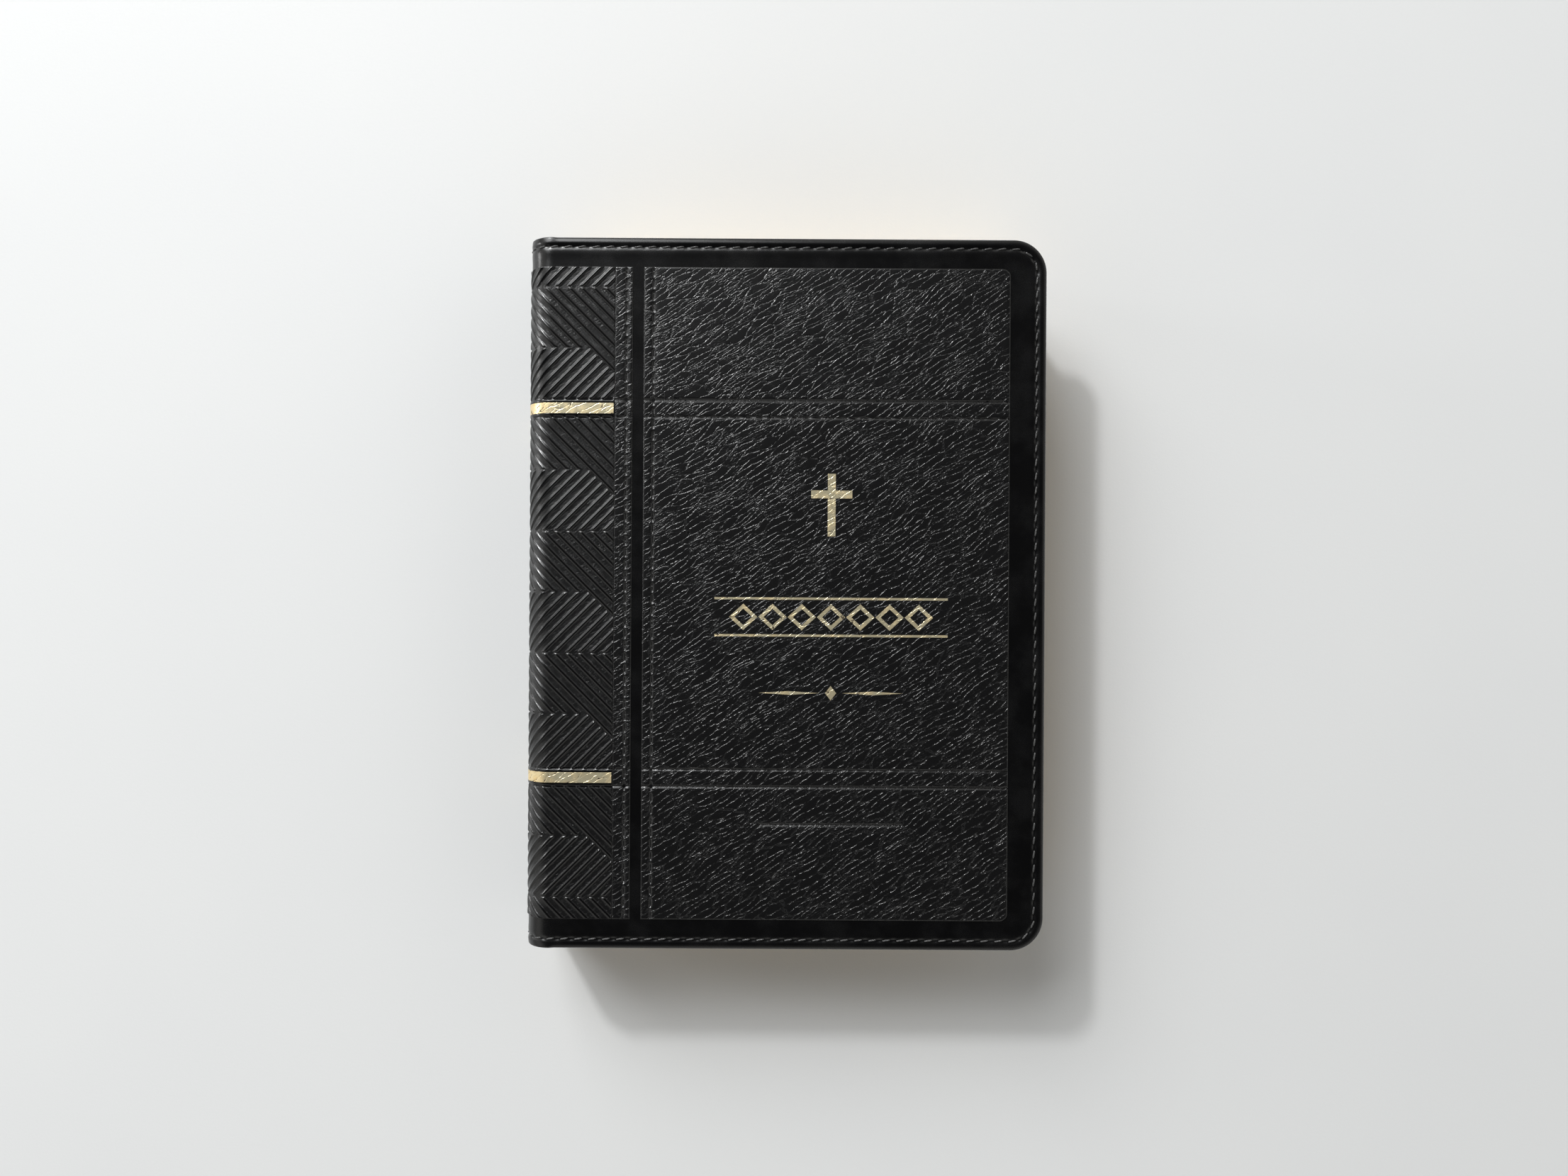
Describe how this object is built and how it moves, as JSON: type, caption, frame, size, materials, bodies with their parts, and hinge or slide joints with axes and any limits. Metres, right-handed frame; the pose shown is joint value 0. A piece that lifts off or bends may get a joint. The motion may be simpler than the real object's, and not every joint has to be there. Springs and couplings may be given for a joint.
{
  "type": "bible",
  "caption": "Closed leather-bound bible with ribbed spine, gold foil bars and stitched border; covers and page halves open on hinges.",
  "frame": {"origin": "middle of the book on the plane it rests on, with the back cover down", "axes": "+X from the spine to the fore-edge, +Y from tail to head, +Z from the back cover to the front cover"},
  "size_m": [0.158, 0.216, 0.037],
  "materials": {
    "smooth_leather": "satin",
    "ribbed_leather": "satin",
    "grained_leather": "satin",
    "gold_foil": "satin",
    "cover_thread": "matte",
    "board": "matte",
    "endpaper": "matte",
    "gilt_page_block": "matte",
    "gauze": "matte",
    "linen_tape": "matte",
    "sewing_thread": "matte",
    "headband_cloth": "matte"
  },
  "bodies": {
    "lower_pages": {"back_hinge_cord": "smooth_leather", "back_flyleaf": "endpaper", "lower_section_1": "gilt_page_block", "lower_section_2": "gilt_page_block", "lower_section_3": "gilt_page_block", "lower_section_4": "gilt_page_block", "lower_section_5": "gilt_page_block", "lower_section_6": "gilt_page_block", "lower_section_7": "gilt_page_block", "lower_section_8": "gilt_page_block", "lower_section_9": "gilt_page_block", "lower_section_10": "gilt_page_block"},
    "back_cover": {"back_leather": "smooth_leather", "back_board": "board", "back_pastedown": "endpaper", "back_rib_band": "ribbed_leather", "back_grain_strip": "grained_leather", "back_grain_panel": "grained_leather", "back_foil_bars": "gold_foil", "back_stitching": "cover_thread"},
    "spine": {"spine_leather": "smooth_leather", "spine_rib_band": "ribbed_leather", "spine_foil_bars": "gold_foil", "spine_stitching": "cover_thread", "spine_card": "board", "spine_gauze": "gauze", "sewing_tapes": "linen_tape", "sewing_thread": "sewing_thread", "head_band": "headband_cloth", "tail_band": "headband_cloth"},
    "upper_pages": {"front_hinge_cord": "smooth_leather", "front_flyleaf": "endpaper", "upper_section_1": "gilt_page_block", "upper_section_2": "gilt_page_block", "upper_section_3": "gilt_page_block", "upper_section_4": "gilt_page_block", "upper_section_5": "gilt_page_block", "upper_section_6": "gilt_page_block", "upper_section_7": "gilt_page_block", "upper_section_8": "gilt_page_block", "upper_section_9": "gilt_page_block", "upper_section_10": "gilt_page_block"},
    "front_cover": {"front_leather": "smooth_leather", "front_board": "board", "front_pastedown": "endpaper", "front_rib_band": "ribbed_leather", "front_grain_strip": "grained_leather", "front_grain_panel": "grained_leather", "front_foil_bars": "gold_foil", "front_stitching": "cover_thread", "foil_cross": "gold_foil", "foil_lozenges": "gold_foil", "foil_divider": "gold_foil"}
  },
  "joints": [
    {"name": "back_cover_hinge", "type": "hinge", "parent": "lower_pages", "child": "back_cover", "pos_m": [-0.077, 0, -0.00165], "axis": [0, 1, 0], "range_deg": [0, 180]},
    {"name": "spine_hinge", "type": "hinge", "parent": "lower_pages", "child": "spine", "pos_m": [-0.07602, 0, 0.00298], "axis": [0, -1, 0], "range_deg": [0, 90]},
    {"name": "middle_opening", "type": "hinge", "parent": "spine", "child": "upper_pages", "pos_m": [-0.07602, 0, 0.03402], "axis": [0, -1, 0], "range_deg": [0, 90]},
    {"name": "front_cover_hinge", "type": "hinge", "parent": "upper_pages", "child": "front_cover", "pos_m": [-0.077, 0, 0.03715], "axis": [0, -1, 0], "range_deg": [0, 180]}
  ],
  "couplings": [
    {"joint": "middle_opening", "follows": "spine_hinge", "ratio": 1}
  ]
}
